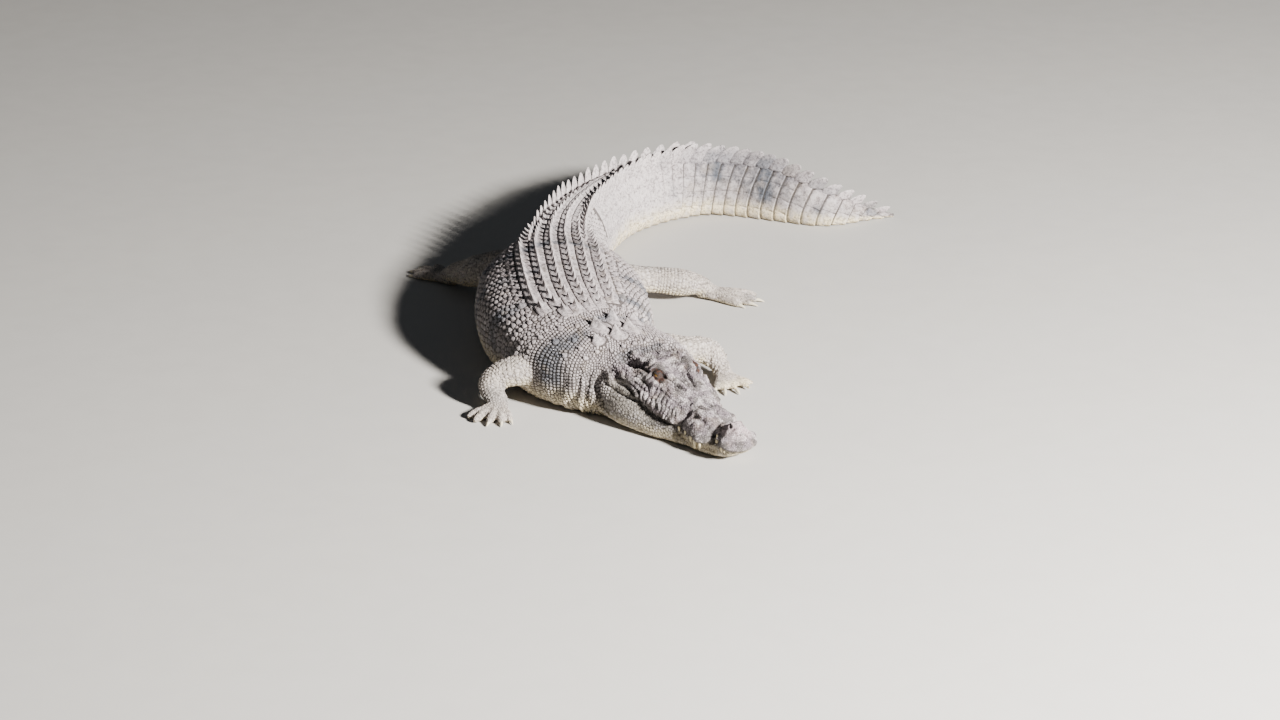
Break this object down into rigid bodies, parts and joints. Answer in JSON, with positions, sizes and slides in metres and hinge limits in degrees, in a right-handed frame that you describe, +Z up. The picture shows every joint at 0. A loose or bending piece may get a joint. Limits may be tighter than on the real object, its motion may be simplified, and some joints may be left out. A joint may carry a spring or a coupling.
{
  "type": "crocodile",
  "caption": "Life-size still model of an adult male saltwater crocodile lying on its belly, head and tail bent to its left, mouth shut.",
  "frame": {"origin": "on the ground, under the spine, in the middle of the flat of the belly", "axes": "+Z up; -Y towards the head; +X towards the animal's left, where the head and tail bend"},
  "size_m": [2.0507, 2.7902, 0.3585],
  "materials": {
    "head_hide": "dry mauve-grey hide, wrinkled and pitted, with cream tooth tips at the lips",
    "jaw_hide": "dry cream and olive-grey hide in smooth polygonal scales",
    "ear_hide": "dark smooth skin fold",
    "eye": "wet dark amber eyeball between orange-brown lids",
    "neck_hide": "dry pale grey hide with round bead scales",
    "back_hide": "dry dusty grey keeled scutes over dark grooves, cream on the flanks",
    "tail_hide": "dry grey rectangular scales with dark grooves, cream below, upright crest flaps",
    "leg_hide": "dry grey lozenge scales",
    "foot_hide": "dry pale scales in rows over the digits",
    "claw": "worn cream and brown horn",
    "tooth": "cream enamel, stained at the root"
  },
  "bodies": {
    "root": {"ear_flap_left": "ear_hide", "ear_flap_right": "ear_hide", "eye_left": "eye", "eye_right": "eye", "foreleg_left_claw_1": "claw", "foreleg_left_claw_2": "claw", "foreleg_left_claw_3": "claw", "foreleg_left_foot": "foot_hide", "foreleg_left_forearm": "leg_hide", "foreleg_left_upper_arm": "leg_hide", "foreleg_right_claw_1": "claw", "foreleg_right_claw_2": "claw", "foreleg_right_claw_3": "claw", "foreleg_right_foot": "foot_hide", "foreleg_right_forearm": "leg_hide", "foreleg_right_upper_arm": "leg_hide", "head": "head_hide", "hindleg_left_claw_1": "claw", "hindleg_left_claw_2": "claw", "hindleg_left_claw_3": "claw", "hindleg_left_foot": "foot_hide", "hindleg_left_shank": "leg_hide", "hindleg_left_thigh": "leg_hide", "hindleg_right_claw_1": "claw", "hindleg_right_claw_2": "claw", "hindleg_right_claw_3": "claw", "hindleg_right_foot": "foot_hide", "hindleg_right_shank": "leg_hide", "hindleg_right_thigh": "leg_hide", "lower_jaw": "jaw_hide", "neck": "neck_hide", "tail_1": "tail_hide", "tail_2": "tail_hide", "tail_3": "tail_hide", "tail_4": "tail_hide", "tail_5": "tail_hide", "tail_6": "tail_hide", "trunk": "back_hide"}
  },
  "joints": []
}
